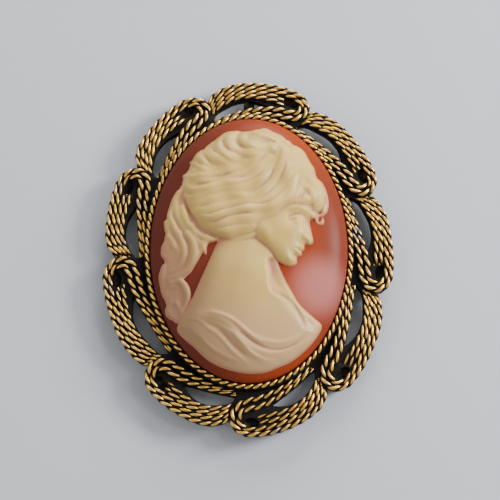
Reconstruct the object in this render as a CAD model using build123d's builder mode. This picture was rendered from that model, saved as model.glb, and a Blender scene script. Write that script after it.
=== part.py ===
from build123d import *
import math
import os

# Cameo brooch lying face up, in millimetres.
# +X is to the right of the face, +Y up the face, +Z out of the face.
# The origin is under the middle of the back rim, which rests on z = 0.

# Cameo and its oval rim
CAMEO_HALF_WIDTH = 14.9
CAMEO_HALF_HEIGHT = 20.5
CAMEO_SIDE = 0.9
DOME_RISE = 4.5

# Cup that holds the cameo
CUP_WALL = 0.9
CUP_HEIGHT = 5.0
FLOOR_LOW = 3.2
FLOOR_HIGH = 4.0
SEAT_GAP = 0.05
RIM_ROUNDING = 0.43

# Pierced border of nine scallops
BORDER_LOW = 1.2
BORDER_HIGH = 3.0
ROPE_RADIUS = 0.34
BEND_SHARE = 0.45
CURL_OUT = 5.3

# The border lies a little low and to the left of the cameo: x and y at the scallops' edge
DRIFT_X = -0.1
DRIFT_Y = -0.3
DRIFT_OUT = 6.7

# Where each curl sits round the rim, as a share of the rim's length from the right, turning left
CURL_PLACES = [0.0955, 0.2075, 0.3109, 0.4180, 0.5277, 0.6559, 0.7522, 0.8556, 0.9786]

# Every row places one point of a path: the share of the way to the next curl,
# a shift along the border in mm, the distance out from the cameo's edge and the height.
OUTER_ROPE = [
    # along, shift, out, height
    (1.00, -4.25, 5.67, 2.50),
    (0.63, 0.0, 6.40, 2.90),
    (0.52, 0.0, 6.70, 2.95),
    (0.38, 0.0, 6.85, 2.95),
    (0.20, 0.0, 6.90, 2.95),
    (0.06, 0.0, 6.85, 2.95),
    (0.00, -0.9, 6.65, 3.05),
    (0.00, -2.1, 6.00, 3.10),
    (0.00, -2.75, 5.00, 3.15),
    (0.00, -2.75, 3.90, 3.20),
    (0.00, -2.0, 2.90, 3.25),
    (0.00, -0.6, 2.25, 3.30),
    (0.14, 0.0, 1.80, 3.30),
    (0.24, 0.0, 1.55, 3.10),
    (0.34, 0.0, 1.45, 2.30),
]
CURL_ROPE = [
    (1.00, -4.2, 4.93, 2.50),
    (0.63, 0.0, 5.60, 3.05),
    (0.52, 0.0, 5.92, 3.15),
    (0.38, 0.0, 6.08, 3.15),
    (0.22, 0.0, 6.12, 3.15),
    (0.08, 0.0, 6.08, 3.05),
    (0.00, -0.5, 5.88, 3.05),
    (0.00, -1.45, 5.35, 3.10),
    (0.00, -1.85, 4.60, 3.20),
    (0.00, -1.3, 3.70, 3.25),
    (0.00, -0.2, 3.15, 3.30),
    (0.18, 0.0, 2.62, 3.30),
    (0.33, 0.0, 2.32, 3.20),
    (0.46, 0.0, 1.92, 3.10),
    (0.60, 0.0, 1.58, 3.00),
    (0.72, 0.0, 1.45, 2.60),
    (1.00, -3.2, 1.42, 2.10),
]
MIDDLE_ROPE = [
    (0.10, 0.0, 5.25, 2.30),
    (0.18, 0.0, 5.32, 3.10),
    (0.34, 0.0, 5.32, 3.30),
    (0.50, 0.0, 5.20, 3.30),
    (0.62, 0.0, 4.84, 3.15),
    (1.00, -4.15, 4.13, 2.50),
]
INNER_ROPE = [
    (0.10, 0.0, 4.48, 2.30),
    (0.18, 0.0, 4.52, 3.10),
    (0.34, 0.0, 4.54, 3.30),
    (0.50, 0.0, 4.40, 3.30),
    (0.62, 0.0, 4.05, 3.15),
    (1.00, -4.0, 3.32, 2.50),
]
ROPES = [OUTER_ROPE, CURL_ROPE, MIDDLE_ROPE, INNER_ROPE]

BORDER_EDGE = [
    # along, shift, out
    (0.00, -3.4, 5.60),
    (0.00, -2.4, 6.38),
    (0.00, -1.1, 7.05),
    (0.06, 0.0, 7.27),
    (0.20, 0.0, 7.33),
    (0.38, 0.0, 7.28),
    (0.52, 0.0, 7.10),
    (0.63, 0.0, 6.84),
    (1.00, -4.3, 6.50),
]
WINDOW_OUTER = [
    (0.21, 0.0, 3.25),
    (0.31, 0.0, 3.72),
    (0.42, 0.0, 3.98),
    (0.53, 0.0, 3.84),
    (0.62, 0.0, 3.46),
    (1.00, -4.0, 2.76),
    (1.00, -3.3, 2.38),
    (1.00, -2.8, 1.86),
]
WINDOW_INNER = [
    (0.21, 0.0, 3.25),
    (0.33, 0.0, 2.80),
    (0.46, 0.0, 2.38),
    (0.60, 0.0, 2.02),
    (0.70, 0.0, 1.90),
    (1.00, -3.8, 1.85),
    (1.00, -2.8, 1.86),
]
PIT_OUT = 4.95
PIT_LOW = 2.0
PIT_LENGTH = 2.0
PIT_WIDTH = 1.0

# Small strap at the back of the top window
TAB_WIDTH = 1.6
TAB_THICKNESS = 0.8
TAB_FROM = 21.0
TAB_TO = 25.4

# Pin behind the cup, across the upper half
PIN_Y = 6.0
PIN_REACH = 10.5
PIN_STRIP_WIDTH = 4.0
PIN_STRIP_THICKNESS = 0.6
PIN_STEM_RADIUS = 0.45
PIN_STEM_Z = 1.25
HINGE_RADIUS = 1.0
CATCH_INNER = 0.62
CATCH_OUTER = 1.1
CATCH_LENGTH = 2.0

# Cameo dome
DOME_FOOT = FLOOR_HIGH + SEAT_GAP
DOME_EDGE = DOME_FOOT + CAMEO_SIDE

# Raised figure
FIGURE_GRID = 0.72
FIGURE_GAP = 0.06
FIGURE_EDGE = 0.35
SNAP = 0.12
FACE_UNIT = 4.1
FACE_BOW = 20.0
CHIN = (6.4, -3.7)

# Face in profile, from the hair round to the throat, in thirds of the face's height:
# forward of the chin's plane and up from the foot of the nose.
FACE_PROFILE = [
    # forward, up
    (-2.20, 1.90),
    (-0.10, 1.95),
    (0.03, 1.50),
    (0.07, 1.12),
    (0.04, 0.92),
    (0.20, 0.52),
    (0.40, 0.16),
    (0.34, 0.02),
    (0.14, -0.05),
    (0.20, -0.24),
    (0.13, -0.34),
    (0.18, -0.47),
    (0.05, -0.60),
    (0.11, -0.82),
    (-0.03, -1.00),
    (-0.42, -1.02),
    (-0.95, -0.72),
    (-1.90, -0.30),
]

BUST_EDGE = [
    # x, y
    (-4.6, 2.5),
    (-5.4, -1.2),
    (-7.3, -5.6),
    (-10.4, -11.9),
    (-10.7, -13.2),
    (-8.3, -15.9),
    (-4.3, -18.3),
    (0.5, -19.2),
    (4.6, -18.4),
    (8.3, -16.1),
    (10.8, -13.0),
    (9.8, -11.0),
    (7.2, -8.4),
    (5.2, -4.8),
    (4.6, -1.0),
]

# Locks of hair: each starts wide, passes a middle point and ends narrow.
LOCKS = [
    # start x, y, middle x, y, end x, y, half width at start and end, height
    (4.6, 15.2, 1.0, 17.0, -4.0, 15.6, 2.3, 1.9, 0.5),
    (6.0, 14.0, 1.5, 11.5, -8.6, 10.6, 1.9, 1.6, 0.7),
    (1.0, 13.0, -4.0, 15.4, -7.0, 13.2, 2.0, 1.4, 0.5),
    (7.8, 13.6, 5.0, 9.5, -2.0, 8.6, 1.9, 1.7, 0.8),
    (9.4, 10.6, 6.5, 7.6, -1.0, 5.6, 1.9, 1.8, 0.9),
    (10.2, 6.6, 7.6, 5.0, 2.0, 3.8, 1.5, 1.6, 0.8),
    (-1.0, 8.0, -5.0, 9.0, -9.0, 7.2, 1.8, 1.3, 0.7),
    (3.0, 3.6, -3.0, 2.8, -7.6, 6.4, 1.9, 1.7, 0.8),
    (0.6, 1.6, -3.0, 2.6, -6.0, 3.0, 1.3, 1.5, 0.6),
    (-7.4, 6.8, -10.6, 3.2, -11.0, -0.6, 1.7, 1.9, 0.5),
    (-6.0, 2.6, -8.6, 0.6, -9.2, -2.6, 1.6, 1.5, 0.5),
    (-11.2, 0.8, -12.6, -2.4, -11.0, -5.0, 1.3, 1.2, 0.5),
    (-9.2, -2.4, -10.4, -5.4, -11.6, -7.2, 1.5, 1.3, 0.4),
    (-11.4, -6.2, -10.4, -8.6, -10.4, -10.6, 1.5, 0.9, 0.4),
]

# Folds of the dress, as raised strokes of the same kind.
FOLDS = [
    (5.0, -5.6, 8.0, -9.6, 9.8, -12.4, 0.9, 1.0, 0.4),
    (9.6, -12.6, 5.6, -17.6, -1.0, -15.0, 0.9, 0.7, 0.5),
    (8.4, -14.6, 3.0, -18.6, -3.0, -14.6, 0.8, 0.6, 0.4),
    (-1.4, -17.6, -5.6, -15.0, -8.4, -12.0, 1.0, 0.7, 0.4),
    (-3.6, -17.2, -6.8, -15.6, -9.2, -13.4, 0.8, 0.6, 0.3),
]

HEAD = (0.1, 8.8)
HEAD_HALF_WIDTH = 9.6
HEAD_HALF_HEIGHT = 8.7
HEAD_HEIGHT = 1.3
FACE_HEIGHT = 1.2
BUST_HEIGHT = 1.0
ROUNDING = 3.0


def rim_point(share, out):
    """Point at a share of the rim's length, a distance out from the cameo's edge."""
    turn = rim_turn(share)
    x = CAMEO_HALF_WIDTH * math.cos(turn)
    y = CAMEO_HALF_HEIGHT * math.sin(turn)
    normal = Vector(CAMEO_HALF_HEIGHT * math.cos(turn), CAMEO_HALF_WIDTH * math.sin(turn)).normalized()
    return Vector(x, y) + normal * out


def rim_lengths(steps=1440):
    """Length of the rim from the right, at even turns of the ellipse."""
    lengths = [0.0]
    last = (CAMEO_HALF_WIDTH, 0.0)
    for step in range(1, steps + 1):
        turn = 2 * math.pi * step / steps
        here = (CAMEO_HALF_WIDTH * math.cos(turn), CAMEO_HALF_HEIGHT * math.sin(turn))
        lengths.append(lengths[-1] + math.dist(last, here))
        last = here
    return lengths


RIM_LENGTHS = rim_lengths()
RIM_LENGTH = RIM_LENGTHS[-1]


def rim_turn(share):
    """Turn of the ellipse at a share of its length."""
    wanted = (share % 1.0) * RIM_LENGTH
    low, high = 0, len(RIM_LENGTHS) - 1
    while high - low > 1:
        middle = (low + high) // 2
        if RIM_LENGTHS[middle] <= wanted:
            low = middle
        else:
            high = middle
    part = (wanted - RIM_LENGTHS[low]) / (RIM_LENGTHS[high] - RIM_LENGTHS[low])
    return 2 * math.pi * (low + part) / (len(RIM_LENGTHS) - 1)


def border_point(curl, along, shift, out):
    """Point of the border, placed from a curl and the next one to its left."""
    start = CURL_PLACES[curl]
    end = CURL_PLACES[(curl + 1) % len(CURL_PLACES)]
    span = (end - start) % 1.0
    anchor = start + along * span
    ahead = rim_point(anchor + 0.001, CURL_OUT) - rim_point(anchor - 0.001, CURL_OUT)
    mm_per_share = ahead.length / 0.002
    drift = Vector(DRIFT_X, DRIFT_Y) * (out / DRIFT_OUT)
    return rim_point(anchor + shift / mm_per_share, out) + drift


def border_path(curl, rows):
    """Points in space along one rope of a scallop."""
    return [
        border_point(curl, along, shift, out) + Vector(0, 0, height)
        for along, shift, out, height in rows
    ]


def border_outline():
    """Points round the whole scalloped edge."""
    return [
        border_point(curl, along, shift, out)
        for curl in range(len(CURL_PLACES))
        for along, shift, out in BORDER_EDGE
    ]


def bend_radii(points):
    """Largest radius that each inner point of a path leaves room for."""
    radii = []
    for before, corner, after in zip(points, points[1:], points[2:]):
        run = min((corner - before).length, (after - corner).length)
        turn = math.radians((corner - before).get_angle(after - corner))
        radii.append(BEND_SHARE * run / math.tan(turn / 2))
    return radii


def rope(points):
    """One rope swept along straight runs joined by arcs."""
    with BuildPart() as tube:
        with BuildLine():
            path = FilletPolyline(*points, radius=bend_radii(points))
        with BuildSketch(Plane(origin=path @ 0, z_dir=path % 0)):
            Circle(ROPE_RADIUS)
        sweep()
    return tube.part


def rim_ellipse(out):
    """Half width and half height of the oval a distance out from the cameo's edge."""
    return CAMEO_HALF_WIDTH + out, CAMEO_HALF_HEIGHT + out


def dome_height(x, y):
    """Height of the dome over a point of its oval."""
    share = (x / CAMEO_HALF_WIDTH) ** 2 + (y / CAMEO_HALF_HEIGHT) ** 2
    return DOME_EDGE + DOME_RISE * math.sqrt(max(0.0, 1 - share))


def face_point(forward, up):
    """Point of the face's profile, with the head bowed."""
    bow = math.radians(FACE_BOW)
    along = up + 1
    x = CHIN[0] + FACE_UNIT * (forward * math.cos(bow) + along * math.sin(bow))
    y = CHIN[1] + FACE_UNIT * (along * math.cos(bow) - forward * math.sin(bow))
    return x, y


FACE_EDGE = [face_point(forward, up) for forward, up in FACE_PROFILE]


def inside_depth(x, y, outline):
    """Distance inside a closed outline, below zero outside it."""
    nearest = math.inf
    inside = False
    for (x0, y0), (x1, y1) in zip(outline, outline[1:] + outline[:1]):
        along = ((x - x0) * (x1 - x0) + (y - y0) * (y1 - y0)) / ((x1 - x0) ** 2 + (y1 - y0) ** 2)
        along = min(1.0, max(0.0, along))
        nearest = min(nearest, math.hypot(x - x0 - along * (x1 - x0), y - y0 - along * (y1 - y0)))
        if (y0 > y) != (y1 > y) and x < x0 + (y - y0) / (y1 - y0) * (x1 - x0):
            inside = not inside
    return nearest if inside else -nearest


def stroke_depth(x, y, stroke, pieces=8):
    """Distance inside a bent, tapered stroke, below zero outside it."""
    x0, y0, x1, y1, x2, y2, wide, narrow, _ = stroke
    ring = []
    for piece in range(pieces + 1):
        t = piece / pieces
        ring.append((
            (1 - t) ** 2 * x0 + 2 * t * (1 - t) * x1 + t ** 2 * x2,
            (1 - t) ** 2 * y0 + 2 * t * (1 - t) * y1 + t ** 2 * y2,
            wide + (narrow - wide) * t,
        ))
    best = -math.inf
    for (ax, ay, a_half), (bx, by, b_half) in zip(ring, ring[1:]):
        along = ((x - ax) * (bx - ax) + (y - ay) * (by - ay)) / ((bx - ax) ** 2 + (by - ay) ** 2)
        along = min(1.0, max(0.0, along))
        gap = math.hypot(x - ax - along * (bx - ax), y - ay - along * (by - ay))
        best = max(best, a_half + (b_half - a_half) * along - gap)
    return best


def swell(depth, rounding):
    """Share of the full height at a depth inside an outline."""
    share = min(1.0, max(0.0, depth / rounding))
    return math.sqrt(1 - (1 - share) ** 2)


def relief(x, y):
    """Depth inside the figure's outline, and its height over the dome."""
    reach = math.hypot((x - HEAD[0]) / HEAD_HALF_WIDTH, (y - HEAD[1]) / HEAD_HALF_HEIGHT)
    head = (1 - reach) * HEAD_HALF_HEIGHT
    face = inside_depth(x, y, FACE_EDGE)
    bust = inside_depth(x, y, BUST_EDGE)
    depth = max(head, face, bust)
    height = max(
        HEAD_HEIGHT * swell(head, ROUNDING),
        FACE_HEIGHT * swell(face, ROUNDING),
        BUST_HEIGHT * swell(bust, ROUNDING),
    )
    raised = 0.0
    for stroke in LOCKS + FOLDS:
        inside = stroke_depth(x, y, stroke)
        depth = max(depth, inside)
        raised = max(raised, stroke[8] * swell(inside, stroke[6]))
    return depth, FIGURE_EDGE + height + raised


def cut_triangle(corners):
    """Part of a triangle that lies inside the outline, as a ring of corners."""
    ring = []
    for (x0, y0, depth0), (x1, y1, depth1) in zip(corners, corners[1:] + corners[:1]):
        if depth0 > 0:
            ring.append((x0, y0))
        if (depth0 > 0) != (depth1 > 0):
            if (x0, y0) > (x1, y1):
                x0, y0, depth0, x1, y1, depth1 = x1, y1, depth1, x0, y0, depth0
            t = min(1 - SNAP, max(SNAP, depth0 / (depth0 - depth1)))
            ring.append((round(x0 + t * (x1 - x0), 6), round(y0 + t * (y1 - y0), 6)))
    return ring


def figure_triangles():
    """Flat triangles that cover the figure in plan."""
    columns = math.ceil(CAMEO_HALF_WIDTH / FIGURE_GRID)
    rows = math.ceil(CAMEO_HALF_HEIGHT / FIGURE_GRID)
    grid = {}
    for column in range(-columns, columns + 1):
        for row in range(-rows, rows + 1):
            x, y = round(column * FIGURE_GRID, 6), round(row * FIGURE_GRID, 6)
            grid[column, row] = (x, y, relief(x, y)[0])
    triangles = []
    for column in range(-columns, columns):
        for row in range(-rows, rows):
            a, b = grid[column, row], grid[column + 1, row]
            c, d = grid[column + 1, row + 1], grid[column, row + 1]
            halves = ((a, b, c), (a, c, d)) if (column + row) % 2 else ((a, b, d), (b, c, d))
            for corners in halves:
                ring = cut_triangle(corners)
                triangles += [(ring[0], ring[i], ring[i + 1]) for i in range(1, len(ring) - 1)]
    return triangles


def figure_faces():
    """Faces of the closed figure: relief above, dome's shape below and walls round the edge."""
    triangles = figure_triangles()
    points = {point for triangle in triangles for point in triangle}
    back = {(x, y): Vector(x, y, dome_height(x, y) + FIGURE_GAP) for x, y in points}
    front = {(x, y): back[x, y] + Vector(0, 0, relief(x, y)[1]) for x, y in points}
    edges = {}
    faces = []
    for a, b, c in triangles:
        faces.append(Face(Wire.make_polygon([front[a], front[b], front[c]])))
        faces.append(Face(Wire.make_polygon([back[a], back[c], back[b]])))
        for edge in ((a, b), (b, c), (c, a)):
            edges[edge] = True
    for a, b in edges:
        if (b, a) not in edges:
            faces.append(Face(Wire.make_polygon([front[b], front[a], back[a]])))
            faces.append(Face(Wire.make_polygon([front[b], back[a], back[b]])))
    return faces


ropes = [
    [rope(border_path(curl, rows)) for curl in range(len(CURL_PLACES))]
    for rows in ROPES
]

with BuildPart() as frame:
    # Scalloped plate of the border
    with BuildSketch(Plane.XY.offset(BORDER_LOW)):
        with BuildLine():
            Spline(*border_outline(), periodic=True)
        make_face()
    extrude(amount=BORDER_HIGH - BORDER_LOW)
    # Pierced windows
    for curl in range(len(CURL_PLACES)):
        with BuildSketch(Plane.XY.offset(BORDER_LOW)):
            with BuildLine():
                Spline(*[border_point(curl, *row) for row in WINDOW_OUTER])
                Spline(*[border_point(curl, *row) for row in WINDOW_INNER])
            make_face()
        extrude(amount=BORDER_HIGH - BORDER_LOW, mode=Mode.SUBTRACT)
    # Pit in the middle of each curl
    for curl in range(len(CURL_PLACES)):
        middle = border_point(curl, 0, 0, PIT_OUT)
        ahead = border_point(curl, 0.02, 0, PIT_OUT) - middle
        with BuildSketch(Plane(origin=middle + Vector(0, 0, PIT_LOW), x_dir=ahead, z_dir=(0, 0, 1))):
            Ellipse(PIT_LENGTH / 2, PIT_WIDTH / 2)
        extrude(amount=BORDER_HIGH - PIT_LOW, mode=Mode.SUBTRACT)
    # Cup: wall with a rounded rim, hollow and floor
    with BuildSketch():
        Ellipse(*rim_ellipse(SEAT_GAP + CUP_WALL))
    extrude(amount=CUP_HEIGHT)
    with BuildSketch():
        Ellipse(*rim_ellipse(SEAT_GAP))
    extrude(amount=FLOOR_LOW, mode=Mode.SUBTRACT)
    with BuildSketch(Plane.XY.offset(FLOOR_HIGH)):
        Ellipse(*rim_ellipse(SEAT_GAP))
    extrude(amount=CUP_HEIGHT - FLOOR_HIGH, mode=Mode.SUBTRACT)
    fillet(faces().sort_by(Axis.Z)[-1].edges(), radius=RIM_ROUNDING)
    # Strap across the top window
    with BuildSketch(Plane.XY.offset(BORDER_LOW)):
        with Locations((0, (TAB_FROM + TAB_TO) / 2)):
            Rectangle(TAB_WIDTH, TAB_TO - TAB_FROM)
    extrude(amount=TAB_THICKNESS)
    # Twisted-wire ropes, one place of every scallop at a time
    for same_ropes in ropes:
        add(same_ropes, clean=False)

with BuildPart() as cameo_ground:
    with BuildSketch(Plane.XZ):
        with BuildLine():
            Line((0, DOME_FOOT), (CAMEO_HALF_WIDTH, DOME_FOOT))
            Line((CAMEO_HALF_WIDTH, DOME_FOOT), (CAMEO_HALF_WIDTH, DOME_EDGE))
            EllipticalCenterArc((0, DOME_EDGE), CAMEO_HALF_WIDTH, DOME_RISE, start_angle=0, arc_size=90)
            Line((0, DOME_EDGE + DOME_RISE), (0, DOME_FOOT))
        make_face()
    revolve(axis=Axis.Z)
    scale(by=(1, CAMEO_HALF_HEIGHT / CAMEO_HALF_WIDTH, 1))

with BuildPart() as cameo_figure:
    add(Solid(Shell(figure_faces())))

with BuildPart() as pin:
    # Strip against the cup's floor
    with BuildSketch(Plane.XY.offset(FLOOR_LOW - SEAT_GAP - PIN_STRIP_THICKNESS)):
        with Locations((0, PIN_Y)):
            SlotOverall(2 * PIN_REACH + 4, PIN_STRIP_WIDTH)
    extrude(amount=PIN_STRIP_THICKNESS)
    # Hinge barrel and the web that carries it
    with BuildSketch(Plane.XZ.offset(-PIN_Y - PIN_STRIP_WIDTH / 2)):
        with Locations((-PIN_REACH, PIN_STEM_Z)):
            Circle(HINGE_RADIUS)
            Rectangle(2 * HINGE_RADIUS, FLOOR_LOW - SEAT_GAP - PIN_STEM_Z, align=(Align.CENTER, Align.MIN))
    extrude(amount=PIN_STRIP_WIDTH)
    # Catch: a hook open towards the foot of the brooch
    with BuildSketch(Plane.YZ.offset(PIN_REACH - CATCH_LENGTH)):
        with Locations((PIN_Y, PIN_STEM_Z)):
            Circle(CATCH_OUTER)
            Rectangle(CATCH_OUTER, FLOOR_LOW - SEAT_GAP - PIN_STEM_Z, align=(Align.MIN, Align.MIN))
            Circle(CATCH_INNER, mode=Mode.SUBTRACT)
            Rectangle(CATCH_OUTER, 2 * CATCH_INNER, align=(Align.MAX, Align.CENTER), mode=Mode.SUBTRACT)
    extrude(amount=CATCH_LENGTH)
    # Stem with a tapered point
    with BuildSketch(Plane.XZ.offset(-PIN_Y)):
        with BuildLine():
            Polyline(
                (-PIN_REACH, PIN_STEM_Z),
                (PIN_REACH + 1.5, PIN_STEM_Z),
                (PIN_REACH - 3.0, PIN_STEM_Z + PIN_STEM_RADIUS),
                (-PIN_REACH, PIN_STEM_Z + PIN_STEM_RADIUS),
                close=True,
            )
        make_face()
    revolve(axis=Axis((0, PIN_Y, PIN_STEM_Z), (1, 0, 0)))

frame.part.label = "frame"
cameo_ground.part.label = "cameo_ground"
cameo_figure.part.label = "cameo_figure"
pin.part.label = "pin"

os.makedirs("parts", exist_ok=True)
export_step(frame.part, "parts/frame.step")
export_step(cameo_ground.part, "parts/cameo_ground.step")
export_step(cameo_figure.part, "parts/cameo_figure.step")
export_step(pin.part, "parts/pin.step")
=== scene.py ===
import math

import bmesh
import bpy
import numpy as np
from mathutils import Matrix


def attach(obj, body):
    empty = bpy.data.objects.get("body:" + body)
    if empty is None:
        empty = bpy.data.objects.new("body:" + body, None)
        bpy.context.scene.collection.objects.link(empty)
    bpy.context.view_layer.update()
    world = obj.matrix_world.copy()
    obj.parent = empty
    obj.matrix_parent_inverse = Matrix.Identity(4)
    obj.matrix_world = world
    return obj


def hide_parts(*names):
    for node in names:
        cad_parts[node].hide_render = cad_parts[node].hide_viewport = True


bl_info = {
    "name": "Cameo brooch",
    "version": (1, 0, 0),
    "blender": (4, 5, 0),
    "location": "View3D > Sidebar > Brooch",
    "description": "Builds an oval cameo brooch with a pierced border of twisted wire",
    "category": "Add Mesh",
}

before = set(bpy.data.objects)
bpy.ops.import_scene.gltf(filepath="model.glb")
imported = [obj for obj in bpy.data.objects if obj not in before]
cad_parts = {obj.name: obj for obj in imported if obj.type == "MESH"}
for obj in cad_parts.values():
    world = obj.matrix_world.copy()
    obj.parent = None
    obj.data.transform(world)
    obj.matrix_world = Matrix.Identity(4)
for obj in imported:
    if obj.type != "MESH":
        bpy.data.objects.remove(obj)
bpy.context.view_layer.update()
MM = 0.001

# Cameo and cup, in mm
HALF_WIDTH = 14.9
HALF_HEIGHT = 20.5
DOME_FOOT = 4.05
DOME_EDGE = 4.95
DOME_RISE = 4.5
SEAT_GAP = 0.05
CUP_OUT = 0.95
FLOOR_LOW = 3.2
FLOOR_HIGH = 4.0
OVAL_POINTS = 240
# Section of the cup: out from the cameo's edge and height
CUP_SECTION = [
    (SEAT_GAP, FLOOR_HIGH), (SEAT_GAP, 4.5), (0.3, 4.62), (0.7, 4.62), (CUP_OUT, 4.35),
    (CUP_OUT, 0.2), (0.80, 0.0), (0.20, 0.0), (SEAT_GAP, 0.15), (SEAT_GAP, FLOOR_LOW),
]
# Rope round the cameo
RIM_ROPE_OUT = 0.5
RIM_ROPE_HEIGHT = 4.56
RIM_PITCH = 2.5
# Strap across the top window: middle and size
STRAP_PLACE = (0, 23.2, 1.6)
STRAP_SIZE = (1.6, 4.4, 0.8)
STRAP_BEVEL = 0.15

# Border of nine scallops
PLATE_LOW = 1.2
PLATE_HIGH = 2.9
PLATE_BEVEL = 0.12
PLATE_HOLE_OUT = 0.5
PIT_OUT = 5.30
PIT_SIZE = (1.25, 0.85, 0.95)
CURL_OUT = 5.3
CURL_PLACES = [0.0955, 0.2075, 0.3109, 0.4180, 0.5277, 0.6559, 0.7522, 0.8556, 0.9786]
SCALLOPS = len(CURL_PLACES)

# Rows place one point of a rope: the share of the way to the next curl, a shift along
# the border, the distance out from the cameo's edge and the height, in mm.
ROPES = {
    "outer": [
        (1.00, -3.5, 4.95, 2.75),
        (1.00, -4.2, 5.55, 2.95),
        (0.63, 0.0, 6.30, 3.05),
        (0.52, 0.0, 6.60, 3.10),
        (0.38, 0.0, 6.75, 3.10),
        (0.20, 0.0, 6.88, 3.10),
        (0.06, 0.0, 6.92, 3.10),
        (0.00, -0.9, 6.75, 3.15),
        (0.00, -2.05, 6.10, 3.20),
        (0.00, -2.75, 5.10, 3.25),
        (0.00, -2.80, 4.00, 3.30),
        (0.00, -2.15, 3.00, 3.35),
        (0.00, -0.9, 2.35, 3.40),
        (0.12, 0.0, 1.90, 3.40),
        (0.28, 0.0, 1.52, 3.35),
        (0.45, 0.0, 1.30, 3.25),
        (0.62, 0.0, 1.20, 3.10),
        (1.00, -3.0, 1.15, 2.90),
    ],
    "curl": [
        (1.00, -3.5, 4.30, 2.75),
        (1.00, -4.2, 4.80, 3.05),
        (0.63, 0.0, 5.50, 3.20),
        (0.52, 0.0, 5.85, 3.25),
        (0.38, 0.0, 6.02, 3.25),
        (0.22, 0.0, 6.12, 3.20),
        (0.08, 0.0, 6.20, 3.05),
        (0.00, -0.5, 6.10, 2.95),
        (0.00, -1.4, 5.60, 3.10),
        (0.00, -1.80, 4.80, 3.25),
        (0.00, -1.55, 3.95, 3.35),
        (0.00, -0.6, 3.42, 3.40),
        (0.08, 0.0, 3.15, 3.40),
        (0.20, 0.0, 2.75, 3.40),
        (0.33, 0.0, 2.28, 3.35),
        (0.46, 0.0, 1.92, 3.25),
        (0.60, 0.0, 1.62, 3.15),
        (0.72, 0.0, 1.48, 3.05),
        (1.00, -2.9, 1.50, 2.80),
    ],
    "middle": [
        (0.085, 0.0, 5.25, 2.60),
        (0.14, 0.0, 5.30, 3.10),
        (0.30, 0.0, 5.36, 3.30),
        (0.50, 0.0, 5.18, 3.30),
        (0.62, 0.0, 4.82, 3.20),
        (1.00, -4.1, 4.12, 3.00),
        (1.00, -3.4, 3.70, 2.70),
    ],
    "inner": [
        (0.07, 0.0, 4.40, 2.60),
        (0.13, 0.0, 4.50, 3.10),
        (0.30, 0.0, 4.60, 3.30),
        (0.42, 0.0, 4.62, 3.30),
        (0.52, 0.0, 4.48, 3.30),
        (0.62, 0.0, 4.10, 3.20),
        (1.00, -4.0, 3.42, 3.00),
        (1.00, -3.3, 3.00, 2.70),
    ],
}
BORDER_EDGE = [
    (0.00, -3.25, 5.05),
    (0.00, -2.45, 6.05),
    (0.00, -1.2, 6.72),
    (0.06, 0.0, 6.98),
    (0.20, 0.0, 6.98),
    (0.38, 0.0, 6.88),
    (0.52, 0.0, 6.72),
    (0.63, 0.0, 6.42),
    (1.00, -4.3, 5.75),
]
WINDOW_OUTER = [
    (0.21, 0.0, 3.20),
    (0.30, 0.0, 3.70),
    (0.40, 0.0, 4.02),
    (0.52, 0.0, 3.98),
    (0.62, 0.0, 3.60),
    (1.00, -4.0, 2.95),
    (1.00, -3.3, 2.45),
    (1.00, -2.8, 1.85),
]
WINDOW_INNER = [
    (0.21, 0.0, 3.20),
    (0.32, 0.0, 2.65),
    (0.44, 0.0, 2.25),
    (0.58, 0.0, 1.92),
    (0.70, 0.0, 1.75),
    (1.00, -3.7, 1.70),
    (1.00, -2.8, 1.85),
]
# Each rope is two wires, this share of the rope's radius thick, of this many sides
WIRE_SHARE = 0.55
WIRE_SIDES = 10
# Radius of each rope at even places from its start to its end, in mm
ROPE_RADII = {
    "outer": (0.40, 0.43, 0.44, 0.50, 0.46, 0.34),
    "curl": (0.38, 0.42, 0.40, 0.48, 0.44, 0.32),
    "middle": (0.34, 0.43, 0.40),
    "inner": (0.34, 0.43, 0.40),
}
# The border lies a little low and to the left of the cameo, most at the scallops' edge
DRIFT = (-0.20, -0.55)
DRIFT_OUT = 6.7

# Figure, in mm: its grid, and the height where it meets the dome and where it is sunk
RELIEF_GRID = 0.125
RELIEF_FOOT = 0.16
RELIEF_SUNK = -0.30
FACE_UNIT = 4.1
FACE_BOW = 20.0
CHIN = (6.4, -3.7)
# Rise of each mass over its foot, and how far in from its edge it is rounded
FACE_MASS = (1.15, 2.2)
BUST_MASS = (1.0, 2.8)
HAIR_MASS = (1.25, 2.4)
TAIL_MASS = (0.16, 0.8)
EDGE_SLOPE = 3.0
# Share of the bust's height that is left beside the head, and the width of the rise from it
NECK_SHARE = 0.50
NECK_RISE = 5.0
SHOULDER_DROP = 0.42
HAIR_GROOVES = 3
TAIL_GROOVES = 4
TAIL_WIDTH_SHARE = 0.9

# Face in profile, in thirds of its height: forward of the chin and up from the nose's foot.
FACE_PROFILE = [
    (-2.20, 1.90), (-0.10, 1.95), (0.03, 1.50), (0.07, 1.12), (0.04, 0.92), (0.20, 0.52),
    (0.40, 0.16), (0.34, 0.02), (0.14, -0.05), (0.20, -0.24), (0.13, -0.34), (0.18, -0.47),
    (0.05, -0.60), (0.11, -0.82), (-0.03, -1.00), (-0.42, -1.02), (-0.95, -0.72), (-1.90, -0.30),
]
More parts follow.
